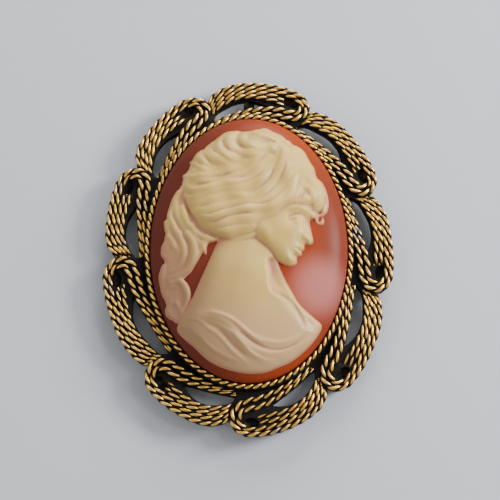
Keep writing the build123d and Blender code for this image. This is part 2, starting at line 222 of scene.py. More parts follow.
# Marks of the face: points in the same thirds, half width and height in mm.
FACE_MARKS = [
    # socket under the brow, and the hollow beside the nose
    ([(-0.16, 0.74), (-0.42, 0.72), (-0.62, 0.66)], 0.85, -0.34),
    ([(0.10, 0.62), (0.02, 0.86)], 0.55, -0.16),
    # ball of the eye, both lids and the crease above
    ([(-0.26, 0.67), (-0.40, 0.66)], 0.50, 0.30),
    ([(-0.14, 0.74), (-0.30, 0.80), (-0.48, 0.74), (-0.66, 0.62)], 0.17, 0.22),
    ([(-0.17, 0.58), (-0.34, 0.53), (-0.52, 0.56)], 0.15, 0.10),
    ([(-0.12, 0.88), (-0.34, 0.94), (-0.62, 0.80)], 0.15, -0.12),
    # brow
    ([(0.02, 1.06), (-0.24, 1.14), (-0.52, 1.12), (-0.82, 0.96)], 0.42, 0.22),
    # wing of the nose and the crease round it
    ([(0.20, 0.12), (0.10, 0.14)], 0.42, 0.20),
    ([(0.10, 0.34), (-0.02, 0.20), (0.00, 0.02)], 0.16, -0.16),
    # lips and the line between them
    ([(0.16, -0.25), (0.02, -0.25), (-0.12, -0.32)], 0.24, 0.16),
    ([(0.14, -0.45), (0.00, -0.44), (-0.10, -0.37)], 0.26, 0.18),
    ([(0.16, -0.345), (0.02, -0.345), (-0.16, -0.36)], 0.11, -0.26),
    ([(0.06, -0.60), (-0.06, -0.58)], 0.30, -0.14),
    # chin, cheek and jaw
    ([(-0.02, -0.80), (-0.14, -0.84)], 0.75, 0.16),
    ([(-0.50, 0.22), (-0.80, 0.16)], 1.70, 0.22),
    ([(-0.30, -0.96), (-0.72, -0.78), (-1.15, -0.45), (-1.40, 0.05)], 0.75, 0.20),
]

HAIR_EDGE = [
    (-0.5, 17.8), (1.4, 18.3), (3.3, 18.0), (5.1, 16.8), (5.6, 15.9), (7.2, 15.2), (8.7, 13.9),
    (9.5, 12.5), (10.1, 10.8), (10.9, 9.5), (11.6, 8.1), (11.5, 6.4), (10.9, 5.2), (9.9, 4.8),
    (9.2, 5.0), (7.7, 5.0), (6.2, 4.5), (4.5, 3.2), (2.0, 1.8), (-0.3, 0.8), (-2.6, 0.2),
    (-4.4, 0.5), (-7.4, 2.3), (-9.0, 5.0), (-9.8, 7.1), (-10.1, 9.2), (-9.8, 10.8), (-9.2, 11.6),
    (-8.8, 12.8), (-7.9, 14.5), (-6.5, 15.2), (-5.1, 16.6), (-3.4, 17.9), (-1.9, 18.0),
]
BUST_EDGE = [
    (1.0, 1.5), (-3.4, 2.0), (-4.7, 0.0), (-5.9, -2.7), (-7.2, -5.6), (-8.6, -8.7),
    (-10.4, -11.7), (-10.7, -12.8), (-9.8, -14.0), (-8.2, -15.4), (-6.3, -17.2), (-4.2, -18.4),
    (-1.5, -19.2), (0.5, -19.4), (2.4, -19.2), (4.5, -18.4), (6.2, -17.6), (8.2, -16.0),
    (9.7, -14.4), (10.7, -12.8), (10.8, -12.1), (9.7, -11.2), (8.2, -10.0), (7.2, -8.9),
    (6.2, -7.2), (5.3, -5.6), (4.4, -3.4), (4.0, -1.0),
]
# Locks of hair: points, half width at the start and at the end, level above the mass.
LOCKS = [
    ([(5.5, 15.6), (3.5, 16.6), (1.6, 17.4), (-0.3, 17.7)], 0.9, 0.6, 0.10),
    ([(5.1, 15.9), (4.3, 17.0), (3.0, 17.7), (1.4, 18.1)], 0.7, 0.5, 0.05),
    ([(3.3, 14.6), (0.8, 14.8), (-0.9, 15.9), (-0.8, 17.4)], 1.1, 0.8, 0.15),
    ([(2.4, 14.0), (-0.3, 13.5), (-2.4, 14.6), (-3.0, 16.3), (-1.9, 17.7)], 1.0, 0.7, 0.10),
    ([(0.8, 13.1), (-2.0, 12.7), (-4.2, 14.0), (-4.7, 15.7), (-3.6, 17.4)], 1.0, 0.6, 0.05),
    ([(-0.7, 12.1), (-3.4, 12.1), (-5.5, 13.2), (-6.3, 14.8), (-5.5, 16.1)], 0.9, 0.6, 0.10),
    ([(-2.4, 11.3), (-4.9, 11.3), (-6.9, 12.5), (-7.6, 13.6), (-7.2, 14.8)], 0.8, 0.5, 0.0),
    ([(-4.2, 10.7), (-6.5, 11.0), (-7.8, 11.9), (-8.8, 12.9)], 0.75, 0.45, 0.05),
    ([(-6.3, 10.4), (-7.8, 10.9), (-8.9, 11.5)], 0.6, 0.4, 0.0),
    ([(6.0, 15.7), (4.3, 15.2), (2.0, 13.6), (-0.3, 12.0), (-3.4, 10.8), (-6.3, 10.3),
      (-8.6, 10.3), (-9.8, 10.7)], 0.5, 0.5, 0.30),
    ([(2.4, 13.1), (0.5, 11.5), (-1.9, 10.2), (-4.2, 9.5), (-6.9, 9.6), (-9.4, 10.1)], 0.7, 0.6, 0.0),
    ([(3.0, 12.9), (1.4, 10.9), (-0.7, 9.2), (-3.4, 8.8), (-6.3, 8.1), (-8.6, 8.0),
      (-9.9, 9.6)], 0.8, 0.6, 0.10),
    ([(4.5, 14.0), (3.5, 12.1), (1.8, 9.4), (-0.7, 8.0), (-3.8, 8.0), (-6.9, 7.1),
      (-9.4, 7.0), (-10.1, 9.0)], 0.85, 0.6, 0.05),
    ([(5.5, 14.3), (4.7, 11.5), (3.2, 8.6), (0.5, 6.8), (-2.6, 7.0), (-5.7, 6.3),
      (-8.6, 6.0), (-9.8, 7.5)], 0.9, 0.6, 0.15),
    ([(6.4, 13.9), (5.9, 10.5), (4.3, 7.6), (1.8, 6.0), (-1.1, 6.0), (-4.2, 5.4),
      (-7.2, 4.7), (-9.2, 6.2)], 0.95, 0.6, 0.05),
    ([(7.2, 12.9), (6.8, 9.8), (5.5, 6.9), (2.8, 4.8), (-0.3, 4.8), (-3.4, 4.2),
      (-6.3, 3.5), (-8.3, 4.7)], 0.95, 0.6, 0.15),
    ([(8.0, 12.7), (8.0, 10.9), (7.4, 8.2), (6.0, 5.7), (3.3, 3.8), (0.3, 3.3), (-2.6, 3.0),
      (-5.3, 2.2), (-7.2, 3.5)], 0.9, 0.6, 0.05),
    ([(8.7, 6.4), (6.6, 4.7), (4.3, 3.2), (1.4, 2.3), (-1.5, 1.7), (-4.2, 1.2), (-5.9, 2.2)],
     0.85, 0.6, 0.10),
    ([(9.4, 4.4), (8.5, 4.9), (6.4, 4.3), (4.5, 3.0), (2.0, 1.9), (-0.3, 0.8), (-2.6, 0.3),
      (-4.5, 1.1)], 0.6, 0.6, 0.20),
    ([(6.2, 15.3), (8.0, 14.2), (9.1, 12.4), (9.9, 10.8)], 0.7, 0.45, 0.05),
    ([(7.0, 12.7), (8.4, 12.4), (9.5, 11.0), (10.1, 10.2)], 0.6, 0.4, 0.10),
    ([(7.2, 10.2), (8.7, 10.3), (10.1, 9.2), (10.9, 7.6), (10.7, 5.9), (9.7, 5.2)], 0.8, 0.5, 0.20),
    ([(8.9, 10.4), (10.7, 9.6), (11.6, 7.7), (11.6, 6.0), (11.1, 4.7), (10.3, 4.3)], 0.4, 0.3, 0.0),
    ([(8.0, 9.0), (9.3, 8.3), (9.7, 6.9), (8.7, 6.0)], 0.75, 0.5, 0.15),
    ([(10.1, 4.6), (10.2, 3.3), (10.9, 3.2), (11.1, 4.1)], 0.3, 0.22, 0.0),
]
# Thin resin under the locks of the tail.
TAIL_EDGE = [
    (-10.6, 8.6), (-11.4, 7.6), (-12.3, 4.8), (-12.5, 1.9), (-12.9, -0.5), (-12.6, -3.1), (-12.9, -5.8),
    (-12.6, -8.2), (-11.6, -10.7), (-10.8, -11.9), (-10.3, -11.6), (-9.8, -9.3), (-9.4, -7.9),
    (-10.0, -7.0), (-9.6, -5.1), (-7.9, -3.2), (-6.4, -0.5), (-4.9, 1.0), (-7.3, 2.5), (-9.0, 4.6),
]
# Locks of the tail, as above.
TAIL = [
    ([(-10.3, 8.4), (-11.1, 6.8), (-10.7, 4.3), (-9.6, 2.2), (-8.4, 0.1), (-7.2, -1.1)], 0.5, 0.6, 0.10),
    ([(-11.5, 5.6), (-11.9, 4.4), (-11.1, 2.3), (-10.1, 0.3), (-9.7, -1.6)], 0.45, 0.6, 0.15),
    ([(-12.4, 3.5), (-12.1, 1.6), (-11.3, -0.1), (-10.9, -1.5)], 0.4, 0.55, 0.05),
    ([(-10.1, 5.5), (-9.2, 3.0), (-7.6, 1.3), (-6.3, 0.5), (-4.7, 0.4)], 0.6, 0.5, 0.20),
    ([(-8.6, 2.6), (-7.8, 0.5), (-6.9, -0.7), (-6.5, -1.7)], 0.5, 0.5, 0.15),
    ([(-9.2, 1.4), (-8.4, 0.1), (-8.2, -1.7), (-8.8, -3.4), (-10.3, -4.9), (-12.1, -5.3)],
     0.75, 0.5, 0.20),
    ([(-10.5, 1.5), (-9.9, -0.2), (-9.7, -1.8), (-10.3, -3.3), (-11.7, -4.2), (-12.8, -4.2)],
     0.7, 0.45, 0.10),
    ([(-12.1, 1.2), (-10.8, -0.3), (-10.7, -1.7), (-11.4, -2.7)], 0.5, 0.35, 0.05),
    ([(-11.4, -0.8), (-12.1, 0.4), (-12.8, -0.1), (-13.0, -1.3), (-12.3, -2.1), (-11.5, -1.9)],
     0.34, 0.3, 0.0),
    ([(-6.3, 0.8), (-7.2, -1.1), (-8.4, -3.2), (-9.6, -5.1)], 0.6, 0.4, 0.05),
    ([(-12.7, -3.3), (-13.0, -4.8), (-12.9, -6.7), (-12.1, -8.4)], 0.5, 0.4, 0.0),
    ([(-11.7, -5.9), (-10.3, -5.8), (-9.4, -7.1), (-9.2, -8.4), (-9.9, -10.1), (-10.4, -11.4)],
     0.65, 0.45, 0.15),
    ([(-11.1, -6.6), (-12.1, -6.4), (-12.3, -7.4), (-11.7, -8.6), (-10.6, -8.6), (-10.3, -7.5)],
     0.42, 0.3, 0.05),
    ([(-11.8, -8.8), (-12.1, -9.8), (-11.5, -10.9), (-10.4, -11.5)], 0.5, 0.35, 0.10),
    ([(-10.8, -9.1), (-10.1, -10.3), (-10.3, -11.4)], 0.45, 0.3, 0.15),
]
# Folds of the dress: points, half width and height.
FOLDS = [
    ([(-7.8, -11.2), (-5.3, -11.3), (-3.0, -12.5), (-1.5, -14.2), (0.5, -15.9), (3.3, -16.8),
      (6.2, -16.1), (8.7, -14.1), (9.4, -12.6)], 0.55, 0.26),
    ([(-5.7, -10.5), (-2.6, -11.8), (-0.3, -13.7), (2.4, -15.0), (5.3, -15.1), (7.8, -14.0),
      (8.9, -12.6)], 0.40, 0.22),
    ([(-6.8, -10.6), (-4.0, -11.1), (-1.4, -12.6), (0.6, -14.4), (3.2, -15.9), (6.0, -15.5)], 0.25, 0.12),
    ([(-4.4, -12.6), (-2.3, -13.9), (-0.6, -15.9), (1.6, -17.3), (4.4, -17.6), (6.8, -16.5)], 0.30, 0.14),
    ([(-3.4, -13.3), (-1.5, -14.8), (0.5, -16.9), (2.4, -17.9), (4.5, -18.2)], 0.40, 0.20),
    ([(-6.0, -13.0), (-4.0, -14.6), (-2.2, -16.6), (-0.2, -18.2)], 0.28, 0.14),
    ([(-7.6, -13.6), (-5.9, -15.6), (-3.4, -17.2), (-1.5, -17.9)], 0.35, 0.17),
    ([(-8.6, -13.0), (-7.0, -14.9), (-4.9, -16.6)], 0.25, 0.12),
    ([(-9.2, -13.9), (-6.9, -16.1), (-4.2, -17.7), (-1.5, -18.8)], 0.40, 0.14),
    ([(-8.9, -11.4), (-7.2, -12.0), (-5.6, -13.4)], 0.25, 0.10),
    ([(4.6, -7.2), (6.4, -8.9), (7.9, -11.0), (8.9, -13.0)], 0.40, 0.22),
    ([(5.0, -6.3), (7.2, -9.1), (9.1, -11.1), (10.2, -11.9)], 0.35, 0.24),
    ([(10.2, -12.2), (9.4, -14.0), (7.4, -15.9), (4.8, -17.4)], 0.35, 0.20),
    ([(9.6, -12.6), (8.8, -14.3), (7.0, -15.8)], 0.22, 0.12),
    # hollows between the folds
    ([(-6.4, -12.3), (-4.4, -13.2), (-2.6, -15.2), (-0.6, -17.0)], 0.32, -0.16),
    ([(-7.4, -14.6), (-5.2, -16.6), (-2.6, -18.0)], 0.24, -0.16),
    ([(-1.2, -13.6), (0.8, -15.2), (3.6, -16.1), (6.3, -15.5), (8.2, -13.9)], 0.22, -0.18),
    ([(6.2, -8.6), (7.6, -11.2), (8.3, -13.0)], 0.30, -0.20),
]
# The far shoulder and its drapery, which lie lower than the throat.
FAR_SHOULDER = [
    (2.7, -2.6), (2.8, -4.4), (2.8, -6.4), (3.3, -7.9), (5.2, -8.9), (7.0, -10.7), (8.6, -13.2),
    (10.4, -13.2), (11.6, -12.0), (9.0, -9.0), (6.8, -6.0), (5.4, -2.6),
]


def linear(text):
    """Linear colour of an sRGB hex value."""
    parts = [int(text[i:i + 2], 16) / 255 for i in (1, 3, 5)]
    return [c / 12.92 if c <= 0.04045 else ((c + 0.055) / 1.055) ** 2.4 for c in parts]


def smooth_step(low, high, value):
    """Smooth rise from 0 at low to 1 at high."""
    share = np.clip((value - low) / (high - low), 0, 1)
    return share * share * (3 - 2 * share)


def unit(vectors):
    """Vectors scaled to length 1."""
    return vectors / np.maximum(np.linalg.norm(vectors, axis=-1, keepdims=True), 1e-12)


def run_lengths(line):
    """Length run along a line at each of its points."""
    return np.concatenate([[0], np.cumsum(np.linalg.norm(np.diff(line, axis=0), axis=1))])


def smooth_line(points, step, closed=False):
    """Points a step apart on a smooth line through the given ones."""
    points = np.array(points, float)
    if closed:
        ring = np.vstack([points[-1:], points, points[:2]])
    else:
        ring = np.vstack([2 * points[0] - points[1], points, 2 * points[-1] - points[-2]])
    runs = []
    for a, b, c, d in zip(ring, ring[1:], ring[2:], ring[3:]):
        knots = np.cumsum([0] + [math.sqrt(math.dist(p, q)) for p, q in ((a, b), (b, c), (c, d))])
        t0, t1, t2, t3 = knots
        t = np.linspace(t1, t2, 16, endpoint=False)[:, None]
        ab = ((t1 - t) * a + (t - t0) * b) / (t1 - t0)
        bc = ((t2 - t) * b + (t - t1) * c) / (t2 - t1)
        cd = ((t3 - t) * c + (t - t2) * d) / (t3 - t2)
        abc = ((t2 - t) * ab + (t - t0) * bc) / (t2 - t0)
        bcd = ((t3 - t) * bc + (t - t1) * cd) / (t3 - t1)
        runs.append(((t2 - t) * abc + (t - t1) * bcd) / (t2 - t1))
    line = np.vstack(runs + [ring[-2:-1]])
    run = run_lengths(line)
    count = max(3, int(round(run[-1] / step)) + 1)
    places = np.linspace(0, run[-1], count)
    line = np.column_stack([np.interp(places, run, line[:, k]) for k in range(line.shape[1])])
    return line[:-1] if closed else line


def deselect():
    """Leaves nothing selected."""
    bpy.ops.object.select_all(action="DESELECT")


def make_active(piece):
    """Selects one piece alone."""
    deselect()
    piece.select_set(True)
    bpy.context.view_layer.objects.active = piece


def mesh_piece(name, points, faces, marks=None):
    """Mesh object from points in mm, with named values at its points."""
    mesh = bpy.data.meshes.new(name)
    mesh.from_pydata((np.asarray(points) * MM).tolist(), [], [list(f) for f in faces])
    piece = bpy.data.objects.new(name, mesh)
    bpy.context.collection.objects.link(piece)
    for mark, values in (marks or {}).items():
        mark_points(piece, mark, values)
    mesh.shade_smooth()
    return piece


def finish_piece(piece, name, material, node):
    """Names a piece, gives it its material and shows it in place of a CAD node."""
    piece.name = name
    piece.data.name = name
    piece.data.materials.clear()
    piece.data.materials.append(material)
    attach(piece, "root")
    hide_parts(node)


def mark_points(piece, mark, values):
    """Stores one value at each point of a piece."""
    mesh = piece.data
    if mark in mesh.attributes:
        mesh.attributes.remove(mesh.attributes[mark])
    layer = mesh.attributes.new(mark, "FLOAT", "POINT")
    layer.data.foreach_set("value", np.asarray(values, np.float32))


def heights(piece):
    """Height of each point of a piece, in mm."""
    flat = np.empty(len(piece.data.vertices) * 3, np.float32)
    piece.data.vertices.foreach_get("co", flat)
    return flat[2::3] / MM


def in_edit_mode(piece, operator, **settings):
    """Runs one mesh operator on all of a piece."""
    make_active(piece)
    bpy.ops.object.mode_set(mode="EDIT")
    bpy.ops.mesh.select_all(action="SELECT")
    operator(**settings)
    bpy.ops.object.mode_set(mode="OBJECT")


TURNS = np.linspace(0, 2 * math.pi, 1441)
RIM_RUN = run_lengths(np.column_stack([HALF_WIDTH * np.cos(TURNS), HALF_HEIGHT * np.sin(TURNS)]))


def rim_point(share, out):
    """Point at a share of the rim's length, a distance out from the cameo's edge."""
    turn = float(np.interp((share % 1.0) * RIM_RUN[-1], RIM_RUN, TURNS))
    normal = unit(np.array([HALF_HEIGHT * math.cos(turn), HALF_WIDTH * math.sin(turn)]))
    return np.array([HALF_WIDTH * math.cos(turn), HALF_HEIGHT * math.sin(turn)]) + normal * out


def border_point(curl, along, shift, out, height=None):
    """Point of the border, placed from a curl and the next one to its left."""
    start = CURL_PLACES[curl]
    end = CURL_PLACES[(curl + 1) % len(CURL_PLACES)]
    anchor = start + along * ((end - start) % 1.0)
    ahead = rim_point(anchor + 0.001, CURL_OUT) - rim_point(anchor - 0.001, CURL_OUT)
    mm_per_share = np.linalg.norm(ahead) / 0.002
    place = rim_point(anchor + shift / mm_per_share, out) + np.array(DRIFT) * out / DRIFT_OUT
    return place if height is None else np.append(place, height)


def oval(out, height, count=OVAL_POINTS):
    """Ring of points round the oval, a distance out from the cameo's edge."""
    turns = np.linspace(0, 2 * math.pi, count, endpoint=False)
    return np.column_stack([
        (HALF_WIDTH + out) * np.cos(turns),
        (HALF_HEIGHT + out) * np.sin(turns),
        np.full(count, height),
    ])


def twisted_rope(path, radius, pitch, start=0.0, closed=False):
    """Two wires twisted round a path: points, faces and how worn each point is."""
    if closed:
        tangent = unit(np.roll(path, -1, 0) - np.roll(path, 1, 0))
        run = run_lengths(np.vstack([path, path[:1]]))[:-1]
    else:
        tangent = unit(np.gradient(path, axis=0))
        run = run_lengths(path)
    side = unit(np.cross(tangent, [0, 0, 1]))
    up = np.cross(side, tangent)
    count = len(path)
    radius = np.broadcast_to(radius, count)[:, None]
    wire = radius * WIRE_SHARE
    sides = WIRE_SIDES
    points, faces, worn = [], [], []
    for strand in (0, 1):
        turn = (start - 2 * math.pi * run / pitch + math.pi * strand)[:, None]
        around = np.cos(turn) * up + np.sin(turn) * side
        centre = path + around * (radius - wire)
        if closed:
            ahead = unit(np.roll(centre, -1, 0) - np.roll(centre, 1, 0))
        else:
            ahead = unit(np.gradient(centre, axis=0))
        normal = unit(around - ahead * (around * ahead).sum(1, keepdims=True))
        across = np.cross(ahead, normal)
        angles = np.linspace(0, 2 * math.pi, sides, endpoint=False)
        cosines, sines = np.cos(angles)[None, :, None], np.sin(angles)[None, :, None]
        ring = centre[:, None] + wire[:, None] * (cosines * normal[:, None] + sines * across[:, None])
        offset = ring - path[:, None]
        reach = np.linalg.norm(offset, axis=2)
        lift = (offset * up[:, None]).sum(2) / np.maximum(reach, 1e-9)
        wear = smooth_step(0.58, 0.92, reach / radius) * smooth_step(0.15, 0.90, lift)
        base = sum(len(p) for p in points)
        points.append(ring.reshape(-1, 3))
        worn.append(wear.reshape(-1))
        for i in range(count if closed else count - 1):
            here, there = base + i * sides, base + (i + 1) % count * sides
            for k in range(sides):
                m = (k + 1) % sides
                faces.append((here + k, here + m, there + m, there + k))
        if not closed:
            faces.append(tuple(base + k for k in reversed(range(sides))))
            faces.append(tuple(base + (count - 1) * sides + k for k in range(sides)))
    return np.vstack(points), faces, np.concatenate(worn)


def dome_height(x, y):
    """Height of the dome over points of its oval."""
    share = (x / HALF_WIDTH) ** 2 + (y / HALF_HEIGHT) ** 2
    return DOME_EDGE + DOME_RISE * np.sqrt(np.maximum(0, 1 - share))


def face_point(forward, up):
    """Place of a point of the face, with the head bowed."""
    bow = math.radians(FACE_BOW)
    along = up + 1
    return (
        CHIN[0] + FACE_UNIT * (forward * math.cos(bow) + along * math.sin(bow)),
        CHIN[1] + FACE_UNIT * (along * math.cos(bow) - forward * math.sin(bow)),
    )


def nearest(x, y, line, closed=False):
    """Distance from a line, side of it and share of the way along it, at points."""
    ends = np.roll(line, -1, 0) if closed else line[1:]
    starts = line if closed else line[:-1]
    best = np.full(x.shape, 1e9)
    side = np.zeros(x.shape)
    along = np.zeros(x.shape)
    count = len(starts)
    for i, (a, b) in enumerate(zip(starts, ends)):
        run = b - a
        share = np.clip(((x - a[0]) * run[0] + (y - a[1]) * run[1]) / (run @ run), 0, 1)
        off_x = x - a[0] - share * run[0]
        off_y = y - a[1] - share * run[1]
        distance = np.hypot(off_x, off_y)
        closer = distance < best
        best = np.where(closer, distance, best)
        side = np.where(closer, run[0] * off_y - run[1] * off_x, side)
        along = np.where(closer, (i + share) / count, along)
    return best, np.sign(side), along


def inside(x, y, line):
    """True at points inside a closed line."""
    crossed = np.zeros(x.shape, bool)
    for a, b in zip(line, np.roll(line, -1, 0)):
        if a[1] == b[1]:
            continue
        spans = (a[1] > y) != (b[1] > y)
        crossed ^= spans & (x < a[0] + (y - a[1]) * (b[0] - a[0]) / (b[1] - a[1]))
    return crossed


def depth_inside(x, y, points):
    """Distance inside a smooth closed outline, less than 0 outside it."""
    line = smooth_line(points, 0.35, closed=True)
    distance = nearest(x, y, line, closed=True)[0]
    return np.where(inside(x, y, line), distance, -distance)


def mass(depth, height, rounding):
    """Height of a rounded mass with a steep edge, from the depth inside its outline."""
    share = np.clip(depth / rounding, 0, 1)
    swell = 1 - (1 - share) ** 2.3
    wall = np.maximum(RELIEF_FOOT + EDGE_SLOPE * depth, 2 * RELIEF_SUNK)
    return np.where(depth > 0, RELIEF_FOOT + height * swell, wall)


def lock(x, y, points, start_width, end_width, grooves):
    """Depth inside a wavy lock of hair, and its rounded and grooved height."""
    line = smooth_line(points, 0.3)
    distance, side, along = nearest(x, y, line)
    wave = np.sin(9 * along + 5 * points[0][0])
    width = (start_width + (end_width - start_width) * along) * (1 + 0.20 * wave)
    width = width * (1 - 0.55 * smooth_step(0.8, 1.0, along))
    across = distance / width
    arch = np.sqrt(np.maximum(0, 1 - across ** 2))
    comb = 0.5 + 0.5 * np.cos(math.pi * grooves * across * side + 4 * along)
    return width - distance, width * (0.60 * arch) - 0.09 * comb * smooth_step(0.02, 0.4, arch)


def mark_height(x, y, points, width, height):
    """Soft ridge or hollow along a line, thinner at the ends where the line is long."""
    line = smooth_line(points, 0.15)
    distance, _, along = nearest(x, y, line)
    if run_lengths(line)[-1] > 3.5 * width:
        height = height * (0.35 + 0.65 * np.sin(math.pi * np.clip(along, 0.0, 1.0)) ** 0.5)
    return height * np.exp(-(distance / width) ** 2)


def blur(values, passes):
    """Grid of values, each evened out with its neighbours."""
    for _ in range(passes):
        for axis in (0, 1):
            values = 0.5 * values + 0.25 * (np.roll(values, 1, axis) + np.roll(values, -1, axis))
    return values


def locks_height(x, y, locks, width_share, grooves, lift):
    """For each lock: depth inside it, its own height, and its height where it lies free."""
    for points, start_width, end_width, level in locks:
        depth, height = lock(x, y, points, width_share * start_width, width_share * end_width, grooves)
        free = np.where(depth > 0, RELIEF_FOOT + level + lift * height, RELIEF_FOOT + EDGE_SLOPE * depth)
        yield depth, level + height, free


def hair_relief(x, y, hair_depth):
    """Height of the hair and of the tail behind it."""
    whole = mass(hair_depth, *HAIR_MASS)
    hair = whole
    waves = np.zeros(x.shape)
    for depth, height, free in locks_height(x, y, LOCKS, 1.0, HAIR_GROOVES, 1.2):
        on_mass = smooth_step(-0.05, 0.6, hair_depth)
        waves = np.maximum(waves, np.where(depth > 0, height * on_mass, 0))
        hair = np.maximum(hair, np.maximum(free, 2 * RELIEF_SUNK))
    # Broad soft clumps that fade some of the waves and deepen others
    clumps = 0.85 + 0.45 * np.sin(0.60 * x + 0.95 * y + 0.5) * np.sin(0.85 * x - 0.45 * y + 1.3)
    hair = np.where(hair_depth > 0, np.maximum(hair, whole + waves * clumps), hair)
    hair = np.maximum(hair, mass(depth_inside(x, y, TAIL_EDGE), *TAIL_MASS))
    for _, _, free in locks_height(x, y, TAIL, TAIL_WIDTH_SHARE, TAIL_GROOVES, 1.3):
        hair = np.maximum(hair, free)
    return np.where(hair > 0.1, blur(hair, 2), hair)


def bust_relief(x, y, head_depth):
    """Height of the neck, the shoulders and the dress, from the depth inside the head."""
    bust_depth = depth_inside(x, y, BUST_EDGE)
    bust = mass(bust_depth, *BUST_MASS)
    beside_head = NECK_SHARE + (1 - NECK_SHARE) * smooth_step(0.0, NECK_RISE, -head_depth)
    bust = np.where(bust_depth > 0, bust * beside_head, bust)
    far = smooth_step(-0.15, 0.55, depth_inside(x, y, FAR_SHOULDER))
    bust = bust - SHOULDER_DROP * far * smooth_step(0.2, 1.6, bust_depth)
    for points, width, height in FOLDS:
        bust = bust + mark_height(x, y, points, width, height) * smooth_step(0, 0.5, bust_depth)
    return bust


def relief(x, y):
    """Height of the figure over the dome, and how far each point lies in a hollow."""
    face_depth = depth_inside(x, y, [face_point(*place) for place in FACE_PROFILE])
    face = mass(face_depth, *FACE_MASS)
    for points, width, height in FACE_MARKS:
        face = face + mark_height(x, y, [face_point(*p) for p in points], width, height) * (face > 0)
    hair_depth = depth_inside(x, y, HAIR_EDGE)
    bust = bust_relief(x, y, np.maximum(face_depth, hair_depth))
    hair = hair_relief(x, y, hair_depth)
    # The jaw and the throat run into each other
    meeting = np.maximum(0, 1 - np.abs(face - bust) / 0.30) * (np.minimum(face, bust) > 0)
    total = np.maximum(np.maximum(face, bust) + 0.075 * meeting ** 2, hair)
    total = np.maximum(total, 2 * RELIEF_SUNK)
    total = np.where(total > 0, blur(total, 1), total)
    # How far each point lies below its surroundings, which the cream material uses for painted shade
    hollow = blur(total, 10) - total
    return total, hollow


def relief_faces(shown):
    """Faces over the shown grid points, the same faces below, and the walls between."""
    rows, cols = shown.shape
    cell = shown[:-1, :-1] | shown[1:, :-1] | shown[:-1, 1:] | shown[1:, 1:]
    index = np.arange(rows * cols).reshape(rows, cols)
    a, b, c, d = index[:-1, :-1], index[:-1, 1:], index[1:, 1:], index[1:, :-1]
    quads = np.stack([a, b, c, d], axis=2)[cell]
    under = quads[:, ::-1] + rows * cols
    edges = {}
    for quad in quads.tolist():
        for edge in zip(quad, quad[1:] + quad[:1]):
            if edge[::-1] in edges:
                del edges[edge[::-1]]
            else:
                edges[edge] = True
    walls = [(q, p, p + rows * cols, q + rows * cols) for p, q in edges]
    return [tuple(q) for q in quads.tolist()] + [tuple(q) for q in under.tolist()] + walls


def add(tree, kind, inputs=None, **settings):
    """Adds a node with its settings, and sets or links its inputs."""
    made = tree.nodes.new(kind)
    for key, value in settings.items():
        setattr(made, key, value)
    for key, value in (inputs or {}).items():
        if isinstance(value, bpy.types.NodeSocket):
            tree.links.new(value, made.inputs[key])
        else:
            made.inputs[key].default_value = value
    return made


def new_material(name):
    """Empty material, its tree, its shader and its Object coordinates."""
    material = bpy.data.materials.new(name)
    material.use_nodes = True
    tree = material.node_tree
    tree.nodes.clear()
    shader = add(tree, "ShaderNodeBsdfPrincipled")
    add(tree, "ShaderNodeOutputMaterial", {"Surface": shader.outputs[0]})
    place = add(tree, "ShaderNodeTexCoord").outputs["Object"]
    return material, tree, shader, place


def noise(tree, place, grain, detail, **settings):
    """Noise of a grain in mm."""
    inputs = {"Vector": place, "Scale": 1 / (grain * MM), "Detail": detail, **settings}
    return add(tree, "ShaderNodeTexNoise", inputs).outputs["Fac"]


def eased(tree, value, low, high, start=0.0, end=1.0):
    """Smooth change from start to end as a value goes from low to high."""
    inputs = {"Value": value, "From Min": low, "From Max": high, "To Min": start, "To Max": end}
    return add(tree, "ShaderNodeMapRange", inputs, interpolation_type="SMOOTHSTEP").outputs[0]


def blended(tree, share, first, second):
    """Colour between two others, each a colour or the output of a node."""
    ends = [end if isinstance(end, bpy.types.NodeSocket) else (*end, 1) for end in (first, second)]
    return add(tree, "ShaderNodeMix", {0: share, 6: ends[0], 7: ends[1]}, data_type="RGBA").outputs[2]


def set_shader(tree, shader, values):
    """Links each value that is a node's output to the shader, and sets the others."""
    for key, value in values.items():
        if isinstance(value, bpy.types.NodeSocket):
            tree.links.new(value, shader.inputs[key])
        else:
            shader.inputs[key].default_value = value


def antique_gold(colours):
    """Gold-plated zinc casting, darkened in an acid bath and rubbed back on its ridges."""
    material, tree, shader, place = new_material("antique_gold_plated_casting")
    wear = add(tree, "ShaderNodeAttribute", attribute_name="worn").outputs["Fac"]
    # Blotches where the dark finish was rubbed away unevenly, about 1.2 mm across
    blotch = noise(tree, place, 1.2, 3.0)
    # Fine pits of the casting, about 0.12 mm
    pits = noise(tree, place, 0.12, 2.0)
    uneven = add(tree, "ShaderNodeMath", {0: blotch, 1: 0.9, 2: wear}, operation="MULTIPLY_ADD").outputs[0]
    rubbed = eased(tree, uneven, 0.70, 1.25)
    bright = blended(tree, rubbed, colours.gold_deep, colours.gold_bright)
    # Spots about 5 mm apart where the plating is worn through to the grey zinc
    spots = noise(tree, place, 5, 1.0)
    bare = add(tree, "ShaderNodeMapRange", {"Value": spots, "From Min": 0.65, "From Max": 0.75}).outputs[0]
    plated = blended(tree, bare, bright, colours.zinc)
    rough = add(tree, "ShaderNodeMapRange", {"Value": rubbed, "To Min": 0.62, "To Max": 0.33}).outputs[0]
    bump = add(tree, "ShaderNodeBump", {"Height": pits, "Strength": 0.25, "Distance": 0.03 * MM}).outputs[0]
    set_shader(tree, shader, {
        "Base Color": blended(tree, rubbed, colours.patina, plated),
        "Metallic": rubbed,
        "Roughness": rough,
        "Normal": bump,
        "Specular IOR Level": 0.25,
    })
    return material


